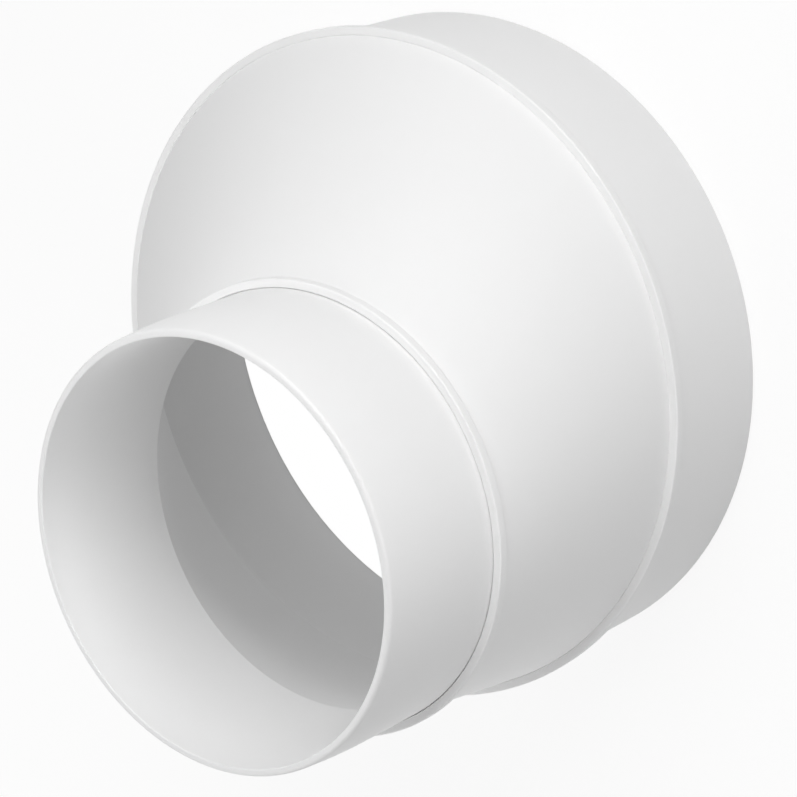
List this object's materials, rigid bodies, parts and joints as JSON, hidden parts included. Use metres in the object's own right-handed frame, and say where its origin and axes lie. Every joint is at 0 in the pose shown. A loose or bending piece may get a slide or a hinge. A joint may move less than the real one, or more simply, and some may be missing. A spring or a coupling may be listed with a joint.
{
  "type": "eccentric duct reducer",
  "caption": "Round moulded reducer with a wide and a narrow spigot, a stop ring at each and a leaning hollow cone between, joining two ducts of unlike bore along one flush side.",
  "frame": {"origin": "centre of the large rim, on the plane that the reducer stands on", "axes": "+Z along both spigot axes, from the large rim towards the small mouth; +X from the large axis towards the small axis, to the side where the rings are flush"},
  "size_m": [0.1634, 0.1634, 0.1341],
  "materials": {
    "white_plastic": "smooth semi-gloss moulded plastic"
  },
  "bodies": {
    "root": {"reducer_body": "white_plastic"}
  },
  "joints": []
}
